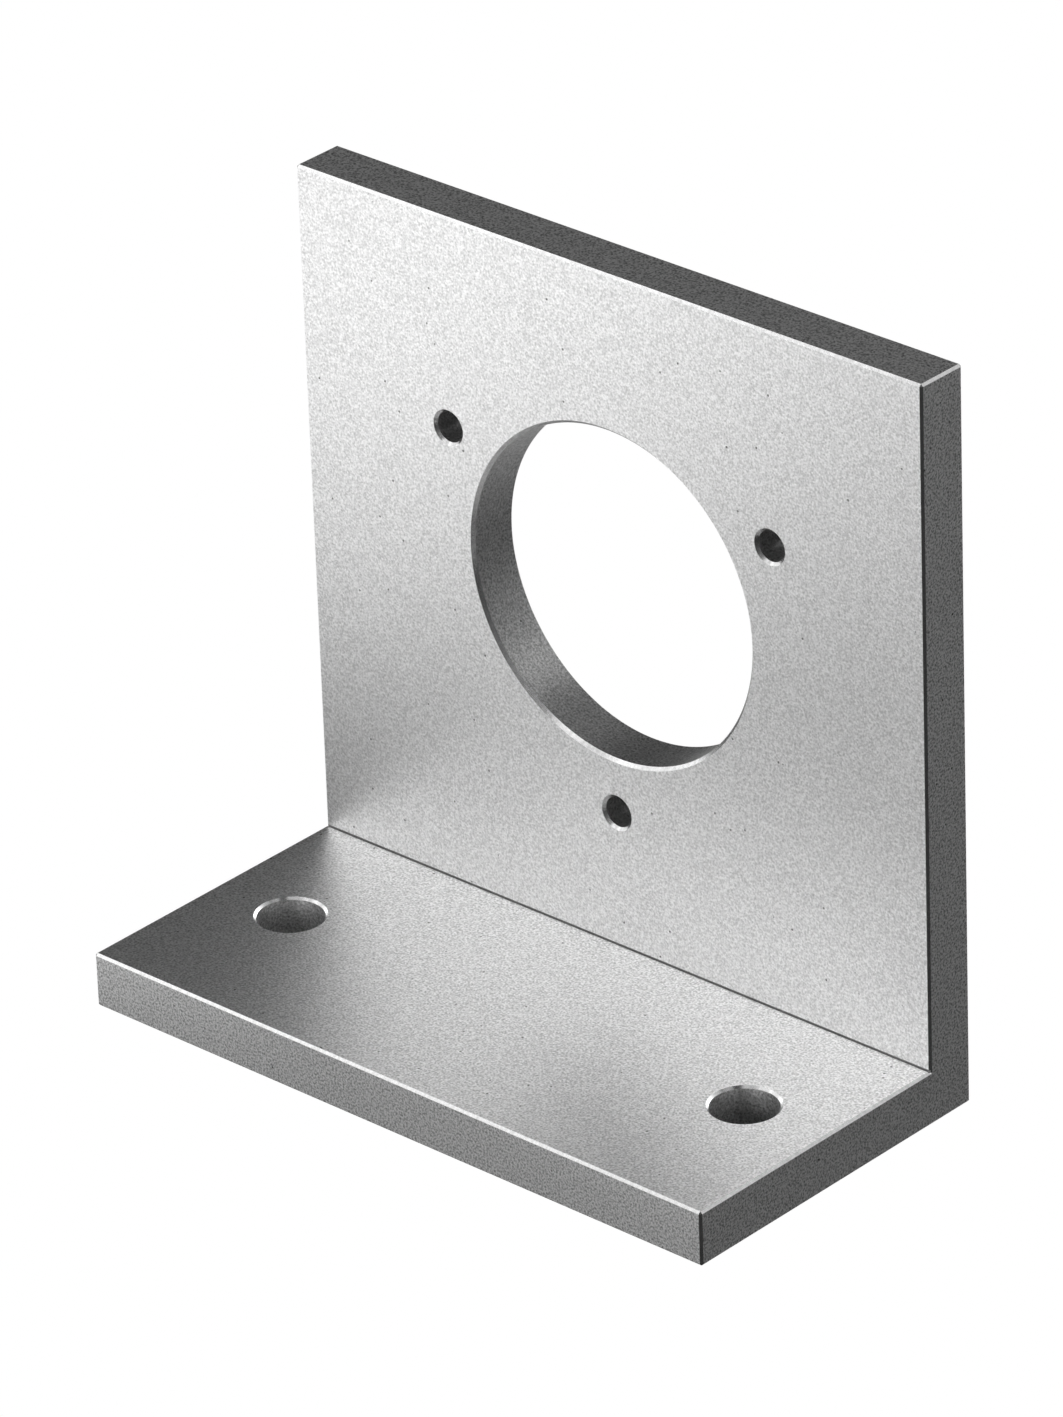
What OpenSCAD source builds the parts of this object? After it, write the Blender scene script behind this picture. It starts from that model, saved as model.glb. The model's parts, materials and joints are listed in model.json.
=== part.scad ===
// Encoder angle flange: a foot that is bolted down and an upright plate that carries a rotary
// encoder by its centring collar and three screws. The whole is one piece of aluminium.
// Origin: on the underside, midway across the width and midway along the depth.
// Axes: +X across the width, -Y towards the front edge of the foot, +Z up the plate.

/* [Legs] */
// Width of the flange, the same for the foot and the plate
flange_w = 80; // [70:1:160]
// Height of the plate's top above the underside
flange_h = 80; // [70:1:150]
// Depth from the foot's front edge to the plate's back face
flange_d = 40; // [32:1:100]
// Thickness of the upright plate
plate_t = 6; // [3:0.5:12]
// Thickness of the foot
foot_t = 6; // [3:0.5:12]

/* [Encoder seat] */
// Diameter of the bore that takes the encoder's centring collar
bore_d = 36; // [20:1:42]
// Height of the bore's axis above the underside
bore_z = 45; // [35:1:55]
// Width of the chamfer at both rims of the bore
bore_chamfer = 0.35; // [0.05:0.05:1]

/* [Encoder screws] */
// Diameter of the pitch circle of the screw holes, centred on the bore
screw_pcd = 48; // [43:1:60]
// Number of screw holes, evenly spaced
screw_count = 3; // [3:1:6]
// Direction of the first screw hole from the bore, counted from +X towards +Z
screw_angle = 270; // [0:5:355]
// Diameter of each screw hole, a clearance for a 3 mm thread
screw_d = 3.3; // [2.5:0.1:4]
// Width of the chamfer at both rims of each screw hole
screw_chamfer = 0.3; // [0.05:0.05:0.5]

/* [Foot bolts] */
// Distance between the two bolt holes in the foot
bolt_pitch = 60; // [30:1:71]
// Distance from the foot's front edge to the line of the bolt holes
bolt_setback = 18; // [8:0.5:29]
// Diameter of each bolt hole, a clearance for a 6 mm thread
bolt_d = 7; // [4:0.1:9]
// Width of the chamfer at both rims of each bolt hole
bolt_chamfer = 0.25; // [0.05:0.05:0.5]

/* [Edges] */
// Width of the flat that breaks every outer edge
edge_break = 0.25; // [0.1:0.05:1]
// Diameter of the fine relief along the inner corner
relief_d = 0.3; // [0.1:0.05:1]

/* [Hidden] */

// Fineness of every round shape
$fn = 96;
// How far a cutter reaches past the face that it opens
overcut = 1;
// The faces that both legs and all holes are placed from
front_y = -flange_d / 2;
back_y = flange_d / 2;
plate_front_y = back_y - plate_t;
bolt_y = front_y + bolt_setback;

// A rectangle from the origin whose four corners are cut off at 45 degrees
module cut_corner_rectangle(a, b, cut) {
    polygon([
        [cut, 0], [a - cut, 0],
        [a, cut], [a, b - cut],
        [a - cut, b], [cut, b],
        [0, b - cut], [0, cut]
    ]);
}

// A leg of the flange: a block, centred across the width, with all twelve edges broken
module leg(depth, height) {
    translate([-flange_w / 2, 0, 0])
        intersection() {
            linear_extrude(height)
                cut_corner_rectangle(flange_w, depth, edge_break);
            translate([0, depth, 0])
                rotate([90, 0, 0])
                    linear_extrude(depth)
                        cut_corner_rectangle(flange_w, height, edge_break);
            rotate([90, 0, 90])
                linear_extrude(flange_w)
                    cut_corner_rectangle(depth, height, edge_break);
        }
}

// Both legs as one solid, with a fine relief where they meet
module angle() {
    difference() {
        union() {
            translate([0, plate_front_y, 0])
                leg(plate_t, flange_h);
            translate([0, front_y, 0])
                leg(flange_d, foot_t);
        }
        translate([-flange_w / 2 - overcut, plate_front_y, foot_t])
            rotate([0, 90, 0])
                cylinder(d = relief_d, h = flange_w + 2 * overcut);
    }
}

// Cutter for a through hole along +Z in a wall from z = 0, chamfered at both faces
module hole_cutter(d, wall, chamfer) {
    rim = d / 2 + chamfer + overcut;
    rotate_extrude()
        polygon([
            [0, -overcut], [rim, -overcut],
            [d / 2, chamfer], [d / 2, wall - chamfer],
            [rim, wall + overcut], [0, wall + overcut]
        ]);
}

// The same cutter through the plate, from its front face to its back face
module plate_cutter(x, z, d, chamfer) {
    translate([x, back_y, z])
        rotate([90, 0, 0])
            hole_cutter(d, plate_t, chamfer);
}

// The bore and the ring of screw holes around it
module encoder_seat() {
    plate_cutter(0, bore_z, bore_d, bore_chamfer);
    for (i = [0 : screw_count - 1]) {
        direction = screw_angle + i * 360 / screw_count;
        plate_cutter(
            screw_pcd / 2 * cos(direction),
            bore_z + screw_pcd / 2 * sin(direction),
            screw_d,
            screw_chamfer
        );
    }
}

// The two bolt holes in the foot
module foot_holes() {
    for (side = [-1, 1])
        translate([side * bolt_pitch / 2, bolt_y, 0])
            hole_cutter(bolt_d, foot_t, bolt_chamfer);
}

module angle_flange() {
    color([0.78, 0.78, 0.79])
        difference() {
            angle();
            encoder_seat();
            foot_holes();
        }
}

angle_flange();
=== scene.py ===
# %% [markdown]
# The object is an angle flange that holds a rotary encoder: one piece of aluminium with an
# upright plate and a foot. Its solid model is the fixed frame that everything here is built
# around. The first cell reads the part's record from model.json and brings the solid in from
# model.glb as a mesh in metres, +Z up, standing on z = 0.

# %% Load the frame
import json
import math

import bpy
import numpy as np
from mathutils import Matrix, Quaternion, Vector


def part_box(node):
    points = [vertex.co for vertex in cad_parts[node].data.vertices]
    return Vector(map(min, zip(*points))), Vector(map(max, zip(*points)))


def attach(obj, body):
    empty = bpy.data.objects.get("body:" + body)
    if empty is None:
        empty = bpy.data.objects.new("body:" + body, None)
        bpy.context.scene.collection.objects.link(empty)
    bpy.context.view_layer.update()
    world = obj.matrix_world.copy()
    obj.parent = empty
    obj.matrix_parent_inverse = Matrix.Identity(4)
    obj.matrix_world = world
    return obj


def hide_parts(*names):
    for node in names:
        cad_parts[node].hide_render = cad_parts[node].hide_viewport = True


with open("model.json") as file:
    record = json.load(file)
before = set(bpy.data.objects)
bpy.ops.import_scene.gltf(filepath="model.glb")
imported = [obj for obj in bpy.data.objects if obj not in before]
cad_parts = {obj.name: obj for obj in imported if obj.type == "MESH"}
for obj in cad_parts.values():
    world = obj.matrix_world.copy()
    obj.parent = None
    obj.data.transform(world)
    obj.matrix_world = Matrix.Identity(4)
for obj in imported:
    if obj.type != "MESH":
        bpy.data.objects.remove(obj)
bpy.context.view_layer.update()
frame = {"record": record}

# %% [markdown]
# Sizes are read from the solid and from the record's mounts, so that the dressed part can't
# drift away from the part that was drawn. Only what neither of them states, such as the width
# of the broken edges, is a value of this script. Lengths are in metres.

# %% Sizes of the flange
MM = 0.001
mounts = {mount["name"]: mount for mount in frame["record"]["mounts"]}
low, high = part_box("angle_flange")
width = high[0] - low[0]
front_y = low[1]
back_y = high[1]
top_z = high[2]
plate_front_y = mounts["plate_front"]["pos_m"][1]
plate_t = back_y - plate_front_y

bore = mounts["encoder_bore"]
bore_r = bore["dims"]["r_mm"] * MM
bore_z = bore["pos_m"][2]
screws = mounts["encoder_screws"]["dims"]
bolts = mounts["foot_bolts"]
bolt_pitch = bolts["dims"]["spacing_x_mm"] * MM
bolt_y = bolts["pos_m"][1]
foot_t = 2 * bolts["pos_m"][2]        # that mount lies midway through the foot

edge_break = 0.25 * MM                # outer edges and the rims of the bolt holes
screw_chamfer = 0.3 * MM
bore_chamfer = (plate_t - bore["dims"]["length_mm"] * MM) / 2
widest_break = max(edge_break, screw_chamfer, bore_chamfer)
relief_r = 0.15 * MM
print("width", round(width, 4), "plate", round(plate_t, 4), "foot", round(foot_t, 4))
print("bore chamfer", round(bore_chamfer / MM, 3), "mm")

# %% [markdown]
# Four short helpers are used all through the script. link() puts an object into the scene.
# node_adder() gives a short way to add a node to a tree, whether the tree is a material, a
# shader group or a Geometry Nodes rule: the node's type, its settings, and its inputs, where
# an input may be a plain value or another node's output. maths() adds a node that calculates.
# direction() turns two angles into a way out from the flange, for the camera and the lamps.

# %% Helpers for objects and nodes
scene = bpy.context.scene


def link(obj):
    """Put an object into the scene."""
    scene.collection.objects.link(obj)
    return obj


def node_adder(tree):
    """A short way to add a node: its type, settings by name, inputs by name or number."""
    def add(kind, settings=None, **inputs):
        node = tree.nodes.new(kind)
        for name, value in (settings or {}).items():
            setattr(node, name, value)
        for name, value in inputs.items():
            key = int(name[1:]) if name[0] == "i" and name[1:].isdigit() else name.replace("_", " ")
            if isinstance(value, bpy.types.NodeSocket):
                tree.links.new(value, node.inputs[key])
            else:
                node.inputs[key].default_value = value
        return node
    return add


def maths(add, operation, a, b=0.0, c=0.0):
    """The result of one calculation on values or outputs."""
    return add("ShaderNodeMath", {"operation": operation}, i0=a, i1=b, i2=c).outputs[0]


def direction(turn, height):
    """The way out from the flange at two angles in degrees: turn is 0 at the front and 90 at
    the right, and height is 90 straight above."""
    turn, height = math.radians(turn), math.radians(height)
    return Vector((
        math.sin(turn) * math.cos(height),
        -math.cos(turn) * math.cos(height),
        math.sin(height),
    ))


# %% [markdown]
# The photograph was taken with a long lens, so the flange's edges stay close to parallel. The
# camera is placed by what a photographer would set: the point aimed at, the distance, the turn
# round the object, the height above it and a slight roll. For a tall frame Blender lays the
# 36 mm sensor along the long side.

# %% Camera
AIM = Vector((1.997, 0.0, 39.155)) * MM
DISTANCE = 0.9226
AZIMUTH, ELEVATION, ROLL = 42.809, 27.931, -2.024      # degrees
LENS = 242.4                                           # millimetres, as SENSOR
SENSOR = 36.0

back = direction(AZIMUTH, ELEVATION)
camera = bpy.data.objects.new("camera", bpy.data.cameras.new("camera"))
camera.data.lens = LENS
camera.data.sensor_width = SENSOR
camera.data.clip_start = 0.01
camera.data.clip_end = 50.0
camera.location = AIM + back * DISTANCE
camera.rotation_mode = "QUATERNION"
rolled = Quaternion((0, 0, 1), math.radians(ROLL))
camera.rotation_quaternion = back.to_track_quat("Z", "Y") @ rolled
link(camera)
scene.camera = camera
print("camera at", [round(v, 3) for v in camera.location])

# %% [markdown]
# A bare metal surface is a picture of what stands around it, so the studio decides how the part
# looks. The Standard view keeps the tones as they are, so that white stays white. The camera
# sees a blank white floor, as in a cut-out catalogue picture. What the metal mirrors is a dim
# floor with soft round pools of light. A wide pool far to the front left gives the plate its
# slow change from bright to grey, and a nearer one carries it on. A small one close in front
# at the right evens out the foot's front face, and a faint one behind serves the back face.

# %% Floor
scene.view_settings.view_transform = "Standard"

POOLS = [                             # middle, spread and strength of each pool of light
    ((-168 * MM, -148 * MM, 0.0), 64 * MM, 2.30),
    ((-84 * MM, -66 * MM, 0.0), 30 * MM, 0.62),
    ((28 * MM, -76 * MM, 0.0), 14 * MM, 2.30),
    ((-50 * MM, 95 * MM, 0.0), 40 * MM, 0.45),
]
FLOOR_GLOW = 0.02                     # strength of the mirrored floor away from every pool
FLOOR_HALF = 6.0                      # half of the floor's side
FLOOR_DROP = 0.02 * MM                # keeps the floor and the flange's underside apart
WHITE = (1, 1, 1, 1)


def by_camera_ray(add, seen, mirrored, kind):
    """End a tree with one shader for the camera and another for all other rays."""
    path = add("ShaderNodeLightPath")
    mix = add("ShaderNodeMixShader", i0=path.outputs["Is Camera Ray"],
              i1=mirrored.outputs[0], i2=seen.outputs[0])
    add(kind, Surface=mix.outputs[0])


def make_floor():
    """A wide floor: white to the camera, dim with pools of light to everything else."""
    mesh = bpy.data.meshes.new("floor")
    corners = [(x, y, -FLOOR_DROP) for x, y in (
        (-FLOOR_HALF, -FLOOR_HALF), (FLOOR_HALF, -FLOOR_HALF),
        (FLOOR_HALF, FLOOR_HALF), (-FLOOR_HALF, FLOOR_HALF),
    )]
    mesh.from_pydata(corners, [], [(0, 1, 2, 3)])
    floor = link(bpy.data.objects.new("floor", mesh))
    material = bpy.data.materials.new("pale floor")
    material.use_nodes = True
    material.node_tree.nodes.clear()
    add = node_adder(material.node_tree)
    place = add("ShaderNodeTexCoord").outputs["Object"]
    glow = FLOOR_GLOW
    for middle, spread, strength in POOLS:
        away = add("ShaderNodeVectorMath", {"operation": "DISTANCE"}, i0=place, i1=middle)
        spreads = maths(add, "DIVIDE", away.outputs["Value"], spread)
        squared = maths(add, "MULTIPLY", spreads, spreads)
        falling = maths(add, "EXPONENT", maths(add, "MULTIPLY", squared, -0.5))
        glow = maths(add, "MULTIPLY_ADD", falling, strength, glow)
    mirrored = add("ShaderNodeEmission", Color=WHITE, Strength=glow)
    seen = add("ShaderNodeEmission", Color=WHITE, Strength=1.0)
    by_camera_ray(add, seen, mirrored, "ShaderNodeOutputMaterial")
    mesh.materials.append(material)


make_floor()
print("floor", 2 * FLOOR_HALF, "m wide, with", len(POOLS), "pools of light")

# %% [markdown]
# Around the floor stands an empty room. It is white to the camera, so that it runs into the
# floor without a horizon. In the metal it is an even dim grey: the darkest tone that a face can
# show when it mirrors no lamp and no pool, as much of the back face does.

# %% Surroundings
ROOM_LIGHT = 0.031                    # strength of the room in the metal's reflections


def make_surroundings():
    """White behind the flange, and an even dim grey all around it in its reflections."""
    world = bpy.data.worlds.new("studio")
    world.use_nodes = True
    world.node_tree.nodes.clear()
    add = node_adder(world.node_tree)
    seen = add("ShaderNodeBackground", Color=WHITE, Strength=1.0)
    mirrored = add("ShaderNodeBackground", Color=WHITE, Strength=ROOM_LIGHT)
    by_camera_ray(add, seen, mirrored, "ShaderNodeOutputWorld")
    scene.world = world


make_surroundings()
print("room light", ROOM_LIGHT)

# %% [markdown]
# Soft light comes from large lamps: square area lights that face the flange. The softboxes and
# panels give each face its tone. The four small, weak edge lights stand where an edge that is
# broken at 45 degrees mirrors them towards the camera. They make the foot's front edge and the
# rims of the bolt holes shine as thin bright lines, and hardly change the faces beside them.

# %% Soft lights
LOOK_AT = Vector((0, 0, 40 * MM))     # the point that every lamp faces
EDGE_LIGHT = 0.3                      # side of an edge light
PANEL = dict(side=1.0, away=1.2)


def softbox(name, turn, height, power, side=0.42, away=0.9):
    """A square area light that faces the flange; turn and height are as for direction()."""
    light = bpy.data.lights.new(name, "AREA")
    light.size = side
    light.energy = power
    lamp = link(bpy.data.objects.new(name, light))
    outwards = direction(turn, height)
    lamp.location = LOOK_AT + outwards * away
    lamp.rotation_mode = "QUATERNION"
    lamp.rotation_quaternion = outwards.to_track_quat("Z", "Y")
    return lamp


lamps = [
    softbox("front softbox", 0, 12, 7.25),
    softbox("right softbox", 90, 15, 3.50),
    softbox("low left softbox", -100, 5, 0.55),
    softbox("back softbox", 144, 37, 0.355),
    softbox("edge light", -50, 39, 0.045, side=EDGE_LIGHT),
    softbox("upper edge light", -14, 54, 0.15, side=EDGE_LIGHT),
    softbox("overhead light", 28, 60, 0.26, side=0.38),
    softbox("right edge light", 105, 52, 0.13, side=EDGE_LIGHT),
    softbox("rear softbox", -165, 40, 0.11),
    softbox("left panel", -30, 30, 2.15, **PANEL),
    softbox("side panel", -80, 25, 2.90, **PANEL),
]
print(len(lamps), "lamps,", round(sum(lamp.data.energy for lamp in lamps), 2), "W in all")

# %% [markdown]
# The flange is bare aluminium with a very fine blasted skin. Fine grit thrown at the metal beats
# it into shallow dents, so the skin scatters light softly and looks mottled from close by. All
# its surfaces share this mottle, so it is a shader node group with a named input for the size
# of a dent. It puts out a value that each material uses for its tone and for a slight bump.

# %% Shared effect: the grain
def effect(name, inputs, outputs):
    """An empty shader node group with float inputs (name: value) and outputs (names)."""
    group = bpy.data.node_groups.new(name, "ShaderNodeTree")
    for socket, value in inputs.items():
        made = group.interface.new_socket(socket, in_out="INPUT", socket_type="NodeSocketFloat")
        made.default_value = value
    for socket in outputs:
        group.interface.new_socket(socket, in_out="OUTPUT", socket_type="NodeSocketFloat")
    start = group.nodes.new("NodeGroupInput")
    end = group.nodes.new("NodeGroupOutput")
    return group, node_adder(group), start.outputs, end.inputs


def make_grain():
    """Soft mottle of a blasted skin: Mottle is around 0, from about -1 to 1."""
    group, add, given, result = effect("blasted grain", {"Size": 0.22 * MM}, ["Mottle"])
    place = add("ShaderNodeTexCoord").outputs["Object"]
    scale = maths(add, "DIVIDE", 1.0, given["Size"])
    soft = add("ShaderNodeTexNoise", Vector=place, Scale=scale, Detail=1.0, Roughness=0.5)
    centred = maths(add, "MULTIPLY_ADD", soft.outputs[0], 4.0, -2.0)    # 0.25..0.75 to -1..1
    group.links.new(centred, result["Mottle"])
    return group


grain = make_grain()
print("effect:", grain.name, "with", len(grain.nodes), "nodes")

# %% [markdown]
# Now and then a grain of grit bites deeper and leaves a dark speck. The specks could be strewn
# as points over each face. A Voronoi texture is simpler and works on every face at once: it
# scatters seeds through space, and only the few that come near the surface make a speck.

# %% Shared effect: the pits
PIT_FLOOR = 0.6                       # share of a pit's radius that is fully dark


def make_pits():
    """Rare specks: Mask is 1 in a pit. Seeds lie in space, so few of them meet the surface."""
    group, add, given, result = effect(
        "pits", {"Spacing": 2.6 * MM, "Radius": 0.15 * MM}, ["Mask"])
    place = add("ShaderNodeTexCoord").outputs["Object"]
    scale = maths(add, "DIVIDE", 1.0, given["Spacing"])
    seeds = add("ShaderNodeTexVoronoi", {"feature": "F1", "voronoi_dimensions": "3D"},
                Vector=place, Scale=scale, Randomness=1.0)
    reach = maths(add, "DIVIDE", given["Radius"], given["Spacing"])
    inner = maths(add, "MULTIPLY", reach, PIT_FLOOR)
    mask = add("ShaderNodeMapRange", {"interpolation_type": "SMOOTHSTEP"},
               Value=seeds.outputs["Distance"], From_Min=reach, From_Max=inner,
               To_Min=0.0, To_Max=1.0)
    group.links.new(mask.outputs[0], result["Mask"])
    return group


pits = make_pits()
print("effect:", pits.name, "with", len(pits.nodes), "nodes")

# %% [markdown]
# Every finish is the same bare metal: fully metallic, with a shade, a gloss and the shared
# grain and pits. Most finishes are set apart by the tool that left them. The large faces are
# blasted and satin. The narrow faces are milled, so they are rougher and more mottled. The
# broken edges are cut last and stay smooth and bright. Walls inside holes carry painted shade:
# their tone is darker, the more so the narrower the hole is. One function makes them all, so
# that they stay one family.

# %% Finishes
BLASTED = 0.22 * MM                   # size of a dent in the blasted skin
DENT = 0.005 * MM                     # and its depth
PITTED = 0.85                         # how much darker a pit is


def make_metal(name, tone, roughness, grain_tone,
               grain_size=BLASTED, grain_depth=DENT, pit_tone=0.0):
    """Bare aluminium with its own shade, gloss, grain and pits; grain_tone is a share of tone."""
    material = bpy.data.materials.new(name)
    material.use_nodes = True
    tree = material.node_tree
    tree.nodes.clear()
    add = node_adder(tree)
    skin = add("ShaderNodeGroup", {"node_tree": grain}, Size=grain_size).outputs["Mottle"]
    specks = add("ShaderNodeGroup", {"node_tree": pits}).outputs["Mask"]
    kept = maths(add, "MULTIPLY_ADD", specks, -pit_tone, 1.0)
    shade = maths(add, "MULTIPLY", maths(add, "MULTIPLY_ADD", skin, grain_tone * tone, tone), kept)
    colour = add("ShaderNodeCombineColor", Red=shade, Green=shade, Blue=shade)
    bump = add("ShaderNodeBump", Height=maths(add, "SUBTRACT", skin, specks),
               Distance=grain_depth, Strength=1.0)
    metal = add("ShaderNodeBsdfPrincipled", Metallic=1.0, Roughness=roughness)
    tree.links.new(colour.outputs[0], metal.inputs["Base Color"])
    tree.links.new(bump.outputs[0], metal.inputs["Normal"])
    add("ShaderNodeOutputMaterial", Surface=metal.outputs[0])
    return material


satin = make_metal("satin face", 0.785, 0.42, 0.28, pit_tone=PITTED)
foot_face = make_metal("satin foot top", 0.77, 0.42, 0.39, pit_tone=PITTED)
narrow = make_metal("milled narrow face", 0.78, 0.48, 0.60, pit_tone=PITTED)
edge = make_metal("broken edge", 0.86, 0.23, 0.12, grain_size=0.45 * MM, grain_depth=0.002 * MM)
# The three hole walls carry painted shade: the narrower the hole, the darker its tone.
bored_shaded = make_metal("bored wall", 0.72, 0.42, 0.45, pit_tone=PITTED)
drilled_shaded = make_metal("drilled wall", 0.60, 0.45, 0.45)
reamed_shaded = make_metal("screw hole wall, painted shade", 0.44, 0.45, 0.45)
# The relief groove's very dark tone is painted shade along the inner crease.
groove_painted_shade = make_metal("relief groove", 0.20, 0.60, 0.15, grain_size=0.35 * MM)
print("finishes:", [finish.name for finish in (satin, foot_face, narrow, edge,
                                               bored_shaded, drilled_shaded, reamed_shaded, groove_painted_shade)])

# %% [markdown]
# The flange's shape follows a rule: a profile is drawn out along the width, holes are cut where
# a pattern puts them, and every outer edge is broken by the same small width. Geometry Nodes
# say just that. These helpers make an empty rule with named inputs, and set those inputs on an
# object by the sockets' identifiers, which is what a modifier knows them by.

# %% Geometry Nodes: helpers for a rule
def rule(name, inputs):
    """A Geometry Nodes tree with named inputs, its adder and its start and end sockets."""
    tree = bpy.data.node_groups.new(name, "GeometryNodeTree")
    tree.is_modifier = True
    face = tree.interface
    face.new_socket("Geometry", in_out="INPUT", socket_type="NodeSocketGeometry")
    for socket, value in inputs.items():
        kind = "NodeSocketInt" if isinstance(value, int) else "NodeSocketFloat"
        kind = "NodeSocketMaterial" if isinstance(value, bpy.types.Material) else kind
        made = face.new_socket(socket, in_out="INPUT", socket_type=kind)
        if kind != "NodeSocketMaterial":
            made.default_value = value
    face.new_socket("Geometry", in_out="OUTPUT", socket_type="NodeSocketGeometry")
    start = tree.nodes.new("NodeGroupInput")
    end = tree.nodes.new("NodeGroupOutput")
    return tree, node_adder(tree), start.outputs, end.inputs


def set_rule(obj, tree, inputs):
    """Put the tree on an object as a modifier and set its inputs by their identifiers."""
    modifier = obj.modifiers.new(tree.name, "NODES")
    modifier.node_group = tree
    for item in tree.interface.items_tree:
        if item.item_type == "SOCKET" and item.in_out == "INPUT" and item.name in inputs:
            modifier[item.identifier] = inputs[item.name]


# %% [markdown]
# Inside a rule the same few steps come again and again: a point from its three measures, a
# comparison, a choice between two values, several parts joined into one, and a finish put on
# a part. Each gets a short name, so that the rules below read like a work plan.

# %% Geometry Nodes: small steps
def vector(add, x=0.0, y=0.0, z=0.0):
    """A point or an offset."""
    return add("ShaderNodeCombineXYZ", X=x, Y=y, Z=z).outputs[0]


def more(add, a, b):
    """Whether a is greater than b."""
    return add("FunctionNodeCompare", {"operation": "GREATER_THAN"}, A=a, B=b).outputs[0]


def either(add, a, b):
    """Whether at least one of two tests is true."""
    return add("FunctionNodeBooleanMath", {"operation": "OR"}, i0=a, i1=b).outputs[0]


def choose(add, test, otherwise, then):
    """One value where the test is true, and another where it isn't."""
    return add("GeometryNodeSwitch", {"input_type": "FLOAT"},
               i0=test, i1=otherwise, i2=then).outputs[0]


def joined(tree, *parts):
    """All the parts as one geometry."""
    both = tree.nodes.new("GeometryNodeJoinGeometry")
    for part in parts:
        tree.links.new(part, both.inputs[0])
    return both.outputs[0]


def finished(add, part, finish, where=True):
    """The part with a finish, on all its faces or only where a test is true."""
    return add("GeometryNodeSetMaterial", Geometry=part, Material=finish,
               Selection=where).outputs[0]


def cut_away(add, part, cutters):
    """The part without what the cutters take away."""
    return add("GeometryNodeMeshBoolean", {"operation": "DIFFERENCE", "solver": "EXACT"},
               Mesh_1=part, Mesh_2=cutters).outputs["Mesh"]


# %% [markdown]
# These are the named inputs of the flange's rule: its sizes, its finishes, and how far each
# kind of edge is broken, as a share of the widest chamfer. Where one of them changes, the whole
# flange follows. FINE says how many sides each kind of round hole has.

# %% Inputs of the flange's rule
BODY = {
    "Width": width, "Front": front_y, "Back": back_y, "Top": top_z,
    "Plate front": plate_front_y, "Foot thickness": foot_t,
    "Bore radius": bore_r, "Bore height": bore_z,
    "Screw circle": screws["pcd_mm"] * MM, "Screw count": screws["count"],
    "Screw radius": screws["hole_r_mm"] * MM,
    "Bolt pitch": bolt_pitch, "Bolt line": bolt_y,
    "Bolt radius": bolts["dims"]["hole_r_mm"] * MM,
    "Edge share": edge_break / widest_break, "Bore share": bore_chamfer / widest_break,
    "Screw share": screw_chamfer / widest_break,
    "Face": satin, "Foot top": foot_face, "Narrow": narrow, "Edge": edge,
    # The hole walls' finishes carry painted shade, darker in the narrower holes.
    "Bored shaded": bored_shaded, "Drilled shaded": drilled_shaded, "Reamed shaded": reamed_shaded,
}
FINE = {"bore": 240, "screw": 72, "bolt": 112}
OVERCUT = 2 * MM                      # how far a cutter reaches past each face that it opens
print(len(BODY), "inputs")

# %% [markdown]
# A maker would saw the flange from an extruded angle bar or mill it from a block. The rule does
# as the extruder does. A face with six corners gets its shape by the number of each corner, and
# Extrude Mesh draws it out along the width. The first end is turned round, because the face it
# was drawn from looks inwards, and the two ends are merged into one closed skin.

# %% Geometry Nodes: the bar
MERGE = 1e-6                          # points closer than this become one


def drawn_bar(tree, add, size):
    """The flange without holes, as a closed block in the finish of the large faces."""
    left = maths(add, "MULTIPLY", size["Width"], -0.5)
    corners = [
        (size["Front"], 0.0), (size["Back"], 0.0), (size["Back"], size["Top"]),
        (size["Plate front"], size["Top"]), (size["Plate front"], size["Foot thickness"]),
        (size["Front"], size["Foot thickness"]),
    ]
    number = add("GeometryNodeInputIndex").outputs[0]
    switch = add("GeometryNodeIndexSwitch", {"data_type": "VECTOR"})
    while len(switch.index_switch_items) < len(corners):
        switch.index_switch_items.new()
    tree.links.new(number, switch.inputs[0])
    for i, (y, z) in enumerate(corners):
        tree.links.new(vector(add, left, y, z), switch.inputs[i + 1])
    blank = add("GeometryNodeMeshCircle", {"fill_type": "NGON"}, Vertices=len(corners))
    placed = add("GeometryNodeSetPosition", Geometry=blank.outputs[0], Position=switch.outputs[0])
    profile = finished(add, placed.outputs[0], size["Face"])
    drawn = add("GeometryNodeExtrudeMesh", {"mode": "FACES"}, Mesh=profile,
                Offset=vector(add, size["Width"]), Offset_Scale=1.0, Individual=False)
    first_end = add("GeometryNodeFlipFaces", Mesh=profile)
    both = joined(tree, drawn.outputs["Mesh"], first_end.outputs[0])
    return add("GeometryNodeMergeByDistance", Geometry=both, Distance=MERGE).outputs[0]


# %% [markdown]
# The bar's faces don't all look alike. The two ends, the top of the plate and the foot's front
# are narrow faces, left by the mill. The foot's top shows its grain a little more strongly than
# the plate does. The rule finds each of them by the middle of the face, before holes are cut.

# %% Geometry Nodes: finishes of the bar
NEARLY = 0.99                         # how close to the limit a face's middle must be


def finished_bar(add, size, bar):
    """The bar with its narrow faces and the foot's top in finishes of their own."""
    middle = add("ShaderNodeSeparateXYZ", Vector=add("GeometryNodeInputPosition").outputs[0])
    x, y, z = middle.outputs
    at_end = more(add, maths(add, "ABSOLUTE", x),
                  maths(add, "MULTIPLY", size["Width"], 0.5 * NEARLY))
    at_top = more(add, z, maths(add, "MULTIPLY", size["Top"], NEARLY))
    at_front = more(add, maths(add, "MULTIPLY", size["Front"], NEARLY), y)
    off_foot = maths(add, "ABSOLUTE", maths(add, "SUBTRACT", z, size["Foot thickness"]))
    on_foot = more(add, maths(add, "MULTIPLY", size["Foot thickness"], 1 - NEARLY), off_foot)
    bar = finished(add, bar, size["Foot top"], on_foot)
    return finished(add, bar, size["Narrow"], either(add, either(add, at_end, at_top), at_front))


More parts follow.
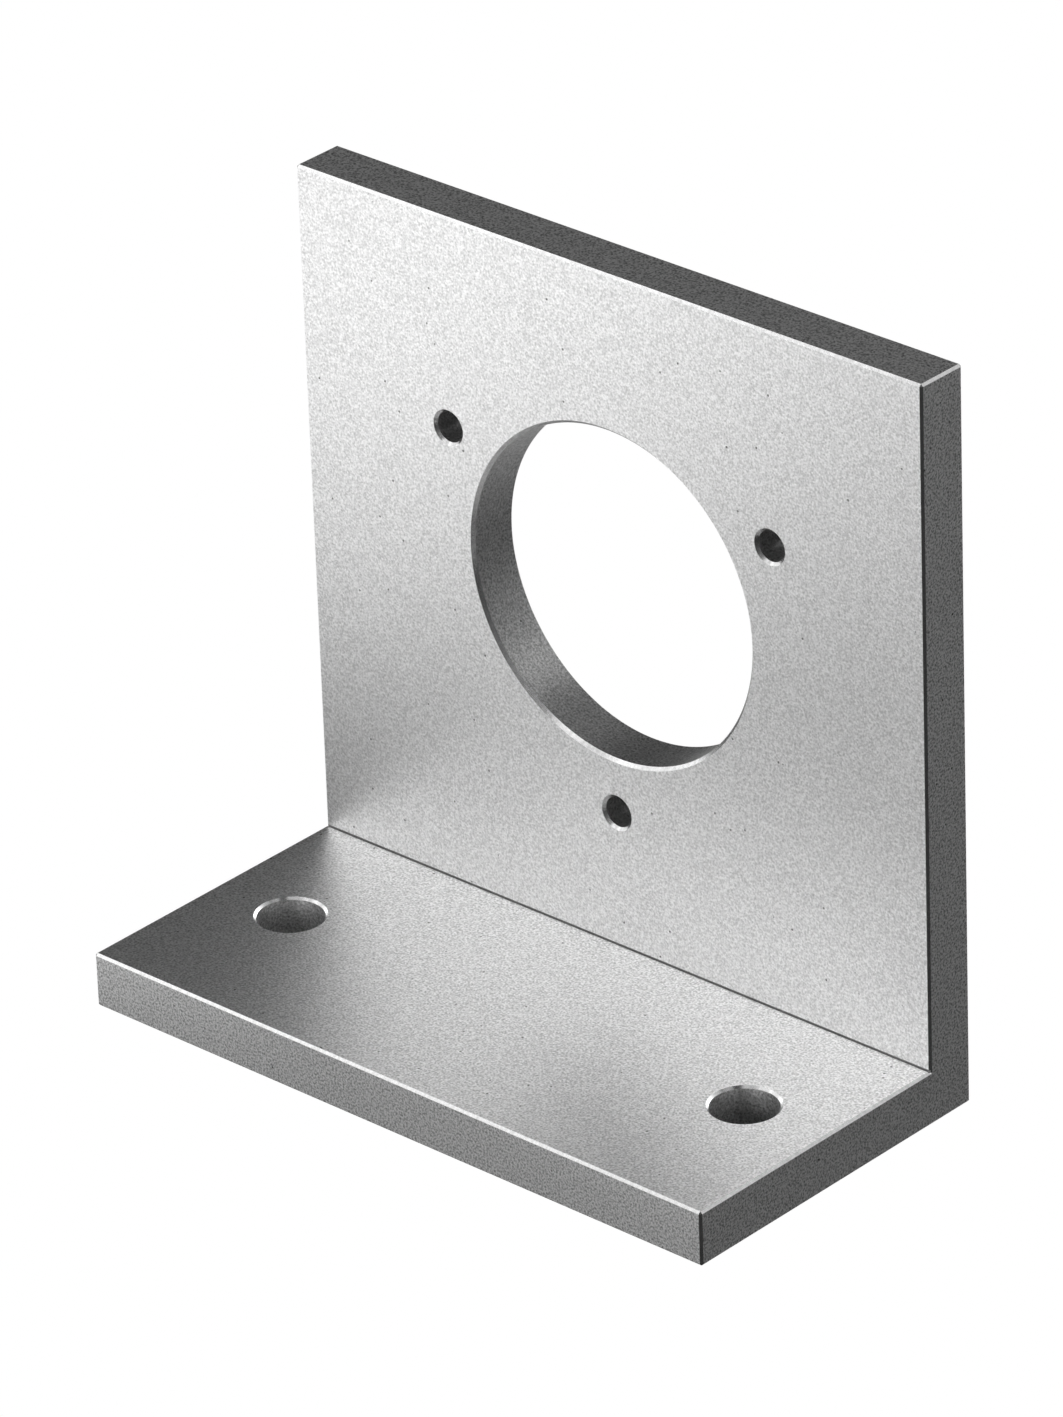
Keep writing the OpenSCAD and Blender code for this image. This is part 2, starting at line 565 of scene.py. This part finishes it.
# %% [markdown]
# Every hole is cut by a rod that carries the finish of the wall it leaves behind. The bore has
# one rod. The screw holes repeat round a circle and the bolt holes along a line, so one rod of
# each kind is placed on the points of a ring and of a row. The ring starts straight below the
# bore. Realize Instances then makes real rods of them, because only those can cut.

# %% Geometry Nodes: the hole cutters
QUARTER = (math.pi / 2, 0.0, 0.0)     # turns a rod from upright to lying along Y


def hole_rod(add, fine, radius, wall, finish):
    """An upright rod that reaches through a wall, with the finish of the hole that it cuts."""
    rod = add("GeometryNodeMeshCylinder", {"fill_type": "NGON"}, Vertices=fine, Radius=radius,
              Depth=maths(add, "ADD", wall, 2 * OVERCUT))
    return finished(add, rod.outputs[0], finish)


def moved(add, part, place=(0.0, 0.0, 0.0), turn=(0.0, 0.0, 0.0)):
    """The part turned and then set in its place."""
    return add("GeometryNodeTransform", Geometry=part, Translation=place, Rotation=turn).outputs[0]


def seat_cutters(add, size, seat):
    """The bore's rod and the ring of screw rods round it, through the plate."""
    wall = maths(add, "SUBTRACT", size["Back"], size["Plate front"])
    bore_rod = hole_rod(add, FINE["bore"], size["Bore radius"], wall, size["Bored shaded"])
    ring = add("GeometryNodeMeshCircle", Vertices=size["Screw count"],
               Radius=maths(add, "MULTIPLY", size["Screw circle"], 0.5))
    lowest = moved(add, ring.outputs[0], turn=(0.0, 0.0, -math.pi / 2))
    screw_rod = hole_rod(add, FINE["screw"], size["Screw radius"], wall, size["Reamed shaded"])
    screws_on_ring = add("GeometryNodeInstanceOnPoints", Points=moved(add, lowest, seat, QUARTER),
                         Instance=screw_rod, Rotation=QUARTER)
    return moved(add, bore_rod, seat, QUARTER), screws_on_ring.outputs[0]


def bolt_cutters(add, size):
    """The two bolt rods, through the foot."""
    middle = maths(add, "MULTIPLY", size["Foot thickness"], 0.5)
    first = vector(add, maths(add, "MULTIPLY", size["Bolt pitch"], -0.5), size["Bolt line"], middle)
    row = add("GeometryNodeMeshLine", {"mode": "OFFSET"}, Count=2, Start_Location=first,
              Offset=vector(add, size["Bolt pitch"]))
    rod = hole_rod(add, FINE["bolt"], size["Bolt radius"], size["Foot thickness"], size["Drilled shaded"])
    return add("GeometryNodeInstanceOnPoints", Points=row.outputs[0], Instance=rod).outputs[0]


def hole_cutters(tree, add, size, seat):
    """All the rods as one real mesh."""
    holes = joined(tree, *seat_cutters(add, size, seat), bolt_cutters(add, size))
    return add("GeometryNodeRealizeInstances", Geometry=holes).outputs[0]


# %% [markdown]
# On the real flange every sharp edge is broken by a small flat, so that it doesn't cut. How wide
# the flat is depends on the edge: widest at the bore, narrower at the screw holes, narrowest at
# the outside and the bolt holes. The rule stores that as a weight on each edge, found by where
# the edge lies. The inner corner is hollow, so it fails the test for its angle and stays sharp.

# %% Geometry Nodes: how far each edge is broken
SHARP = math.radians(30)              # an edge that turns by more than this is a true corner
BORE_REACH = 1.04                     # bore radii from the seat that take in both its rims
SCREW_REACH = 2.0                     # screw radii beyond their circle that take in their rims
FOOT_REACH = 1.01                     # foot thicknesses that take in all of the foot's edges


def weighed_edges(add, size, seat, body):
    """The body with each outer edge's share of the widest chamfer, for the Bevel modifier."""
    angle = add("GeometryNodeInputMeshEdgeAngle").outputs["Signed Angle"]
    place = add("GeometryNodeInputPosition").outputs[0]
    apart = add("ShaderNodeVectorMath", {"operation": "DISTANCE"}, i0=place, i1=seat)
    away = apart.outputs["Value"]
    height = add("ShaderNodeSeparateXYZ", Vector=place).outputs[2]
    at_bore = more(add, maths(add, "MULTIPLY", size["Bore radius"], BORE_REACH), away)
    ring_radius = maths(add, "MULTIPLY", size["Screw circle"], 0.5)
    ring_reach = maths(add, "MULTIPLY_ADD", size["Screw radius"], SCREW_REACH, ring_radius)
    at_screw = more(add, ring_reach, away)
    at_foot = more(add, maths(add, "MULTIPLY", size["Foot thickness"], FOOT_REACH), height)
    share = choose(add, at_screw, size["Edge share"], size["Screw share"])
    share = choose(add, at_bore, share, size["Bore share"])
    share = choose(add, at_foot, share, size["Edge share"])
    return add("GeometryNodeStoreNamedAttribute", {"data_type": "FLOAT", "domain": "EDGE"},
               Geometry=body, Selection=more(add, angle, SHARP),
               Name="bevel_weight_edge", Value=share).outputs[0]


# %% [markdown]
# Now the steps come together in one tree: bar, finishes, holes, weights. Its last node sets a
# material on no face at all. That puts the finish of the broken edges in the list of the mesh's
# materials, where the Bevel modifier can find it.

# %% Geometry Nodes: the flange's rule
def flange_rule():
    """Draw the bar, cut the holes, and mark how far each edge is broken."""
    tree, add, size, result = rule("flange body", BODY)
    bar = finished_bar(add, size, drawn_bar(tree, add, size))
    both_faces = maths(add, "ADD", size["Back"], size["Plate front"])
    seat = vector(add, 0.0, maths(add, "MULTIPLY", both_faces, 0.5), size["Bore height"])
    body = cut_away(add, bar, hole_cutters(tree, add, size, seat))
    weighed = weighed_edges(add, size, seat, body)
    whole = add("GeometryNodeRealizeInstances", Geometry=weighed).outputs[0]
    tree.links.new(finished(add, whole, size["Edge"], False), result[0])
    return tree


body_rule = flange_rule()
print("nodes in the flange's rule:", len(body_rule.nodes))

# %% [markdown]
# A thin dark line runs along the flange's inner corner, where a tool has left a fine relief. The
# relief's finish is very dark: painted shade along the crease. A second, small rule cuts the
# relief with a thin rod and marks which edges shade sharp. It comes after the edges are broken,
# because the relief is narrower than the broken edges that it meets at the flange's ends.

# %% Geometry Nodes: the relief in the inner corner
# Relief is the relief's finish: a very dark tone, painted shade along the crease.
RELIEF = {
    "Width": width, "Plate front": plate_front_y, "Foot thickness": foot_t,
    "Relief radius": relief_r, "Sharp above": SHARP, "Relief": groove_painted_shade,
}
RELIEF_SIDES = 24


def relief_rule():
    """Cut the relief, and shade everything smooth but the true corners."""
    tree, add, size, result = rule("inner corner relief", RELIEF)
    rod = add("GeometryNodeMeshCylinder", {"fill_type": "NGON"}, Vertices=RELIEF_SIDES,
              Radius=size["Relief radius"], Depth=maths(add, "ADD", size["Width"], 2 * OVERCUT))
    corner = vector(add, 0.0, size["Plate front"], size["Foot thickness"])
    laid = moved(add, rod.outputs[0], corner, (0.0, math.pi / 2, 0.0))
    body = cut_away(add, size["Geometry"], finished(add, laid, size["Relief"]))
    smooth = add("GeometryNodeSetShadeSmooth", {"domain": "FACE"}, Geometry=body,
                 Shade_Smooth=True)
    angle = add("GeometryNodeInputMeshEdgeAngle").outputs["Unsigned Angle"]
    creased = add("GeometryNodeSetShadeSmooth", {"domain": "EDGE"}, Geometry=smooth.outputs[0],
                  Selection=more(add, angle, size["Sharp above"]), Shade_Smooth=False)
    whole = add("GeometryNodeRealizeInstances", Geometry=creased.outputs[0]).outputs[0]
    tree.links.new(finished(add, whole, size["Relief"], False), result[0])
    return tree


corner_rule = relief_rule()
print("nodes in the relief's rule:", len(corner_rule.nodes))

# %% [markdown]
# A rule is only a recipe until it is evaluated. plain_mesh() takes the result as an ordinary
# mesh and removes the modifiers, because the export wants real faces. It also drops empty
# material slots and numbers the faces' finishes anew. slot_report() prints what was made.

# %% Helpers for the finished mesh
def finish_numbers(mesh):
    """For each face, the number of its material slot."""
    used = np.zeros(len(mesh.polygons), dtype=np.int32)
    mesh.polygons.foreach_get("material_index", used)
    return used


def plain_mesh(obj):
    """The evaluated object as a mesh of its own, with no modifier and no empty slot left."""
    depsgraph = bpy.context.evaluated_depsgraph_get()
    mesh = bpy.data.meshes.new_from_object(obj.evaluated_get(depsgraph),
                                           preserve_all_data_layers=True, depsgraph=depsgraph)
    obj.modifiers.clear()
    obj.data = mesh
    slots = list(mesh.materials)
    finishes = [material for material in slots if material]
    number = np.array([finishes.index(material) if material else 0 for material in slots])
    used = finish_numbers(mesh)
    mesh.materials.clear()
    for material in finishes:
        mesh.materials.append(material)
    mesh.polygons.foreach_set("material_index", number[used].astype(np.int32))
    return mesh


def slot_report(mesh):
    """Print the mesh's size and how many faces each finish is on."""
    used = finish_numbers(mesh)
    print(len(mesh.vertices), "points,", len(mesh.polygons), "faces")
    for i, material in enumerate(mesh.materials):
        print("  slot", i, material.name, "on", int((used == i).sum()), "faces")


# %% [markdown]
# First the sharp flange is made: the bar with its holes, and a weight on each edge.

# %% Make the sharp flange
flange = link(bpy.data.objects.new("flange", bpy.data.meshes.new("flange")))
set_rule(flange, body_rule, BODY)
sharp_shape = plain_mesh(flange)
slot_report(sharp_shape)

# %% [markdown]
# Then the finishing passes follow. The Bevel modifier breaks each marked edge by its own share
# of the width, with one flat, as a file or a chamfer tool does. Its Loop Slide is off: that
# option lets a flat follow the neighbouring edges, and here it would tilt some flats away from
# 45 degrees, so that they no longer caught the edge lights. The relief comes next. Weighted
# normals come last and keep the large faces evenly shaded right up to their edges.

# %% Break the edges and cut the relief
breaker = flange.modifiers.new("broken edges", "BEVEL")
breaker.width = widest_break
breaker.limit_method = "WEIGHT"
breaker.segments = 1
breaker.loop_slide = False
breaker.material = list(sharp_shape.materials).index(edge)
set_rule(flange, corner_rule, RELIEF)
even = flange.modifiers.new("even shading", "WEIGHTED_NORMAL")
even.keep_sharp = True
slot_report(plain_mesh(flange))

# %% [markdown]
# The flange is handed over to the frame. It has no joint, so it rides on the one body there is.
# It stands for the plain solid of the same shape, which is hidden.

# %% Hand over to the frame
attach(flange, "root")
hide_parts("angle_flange")
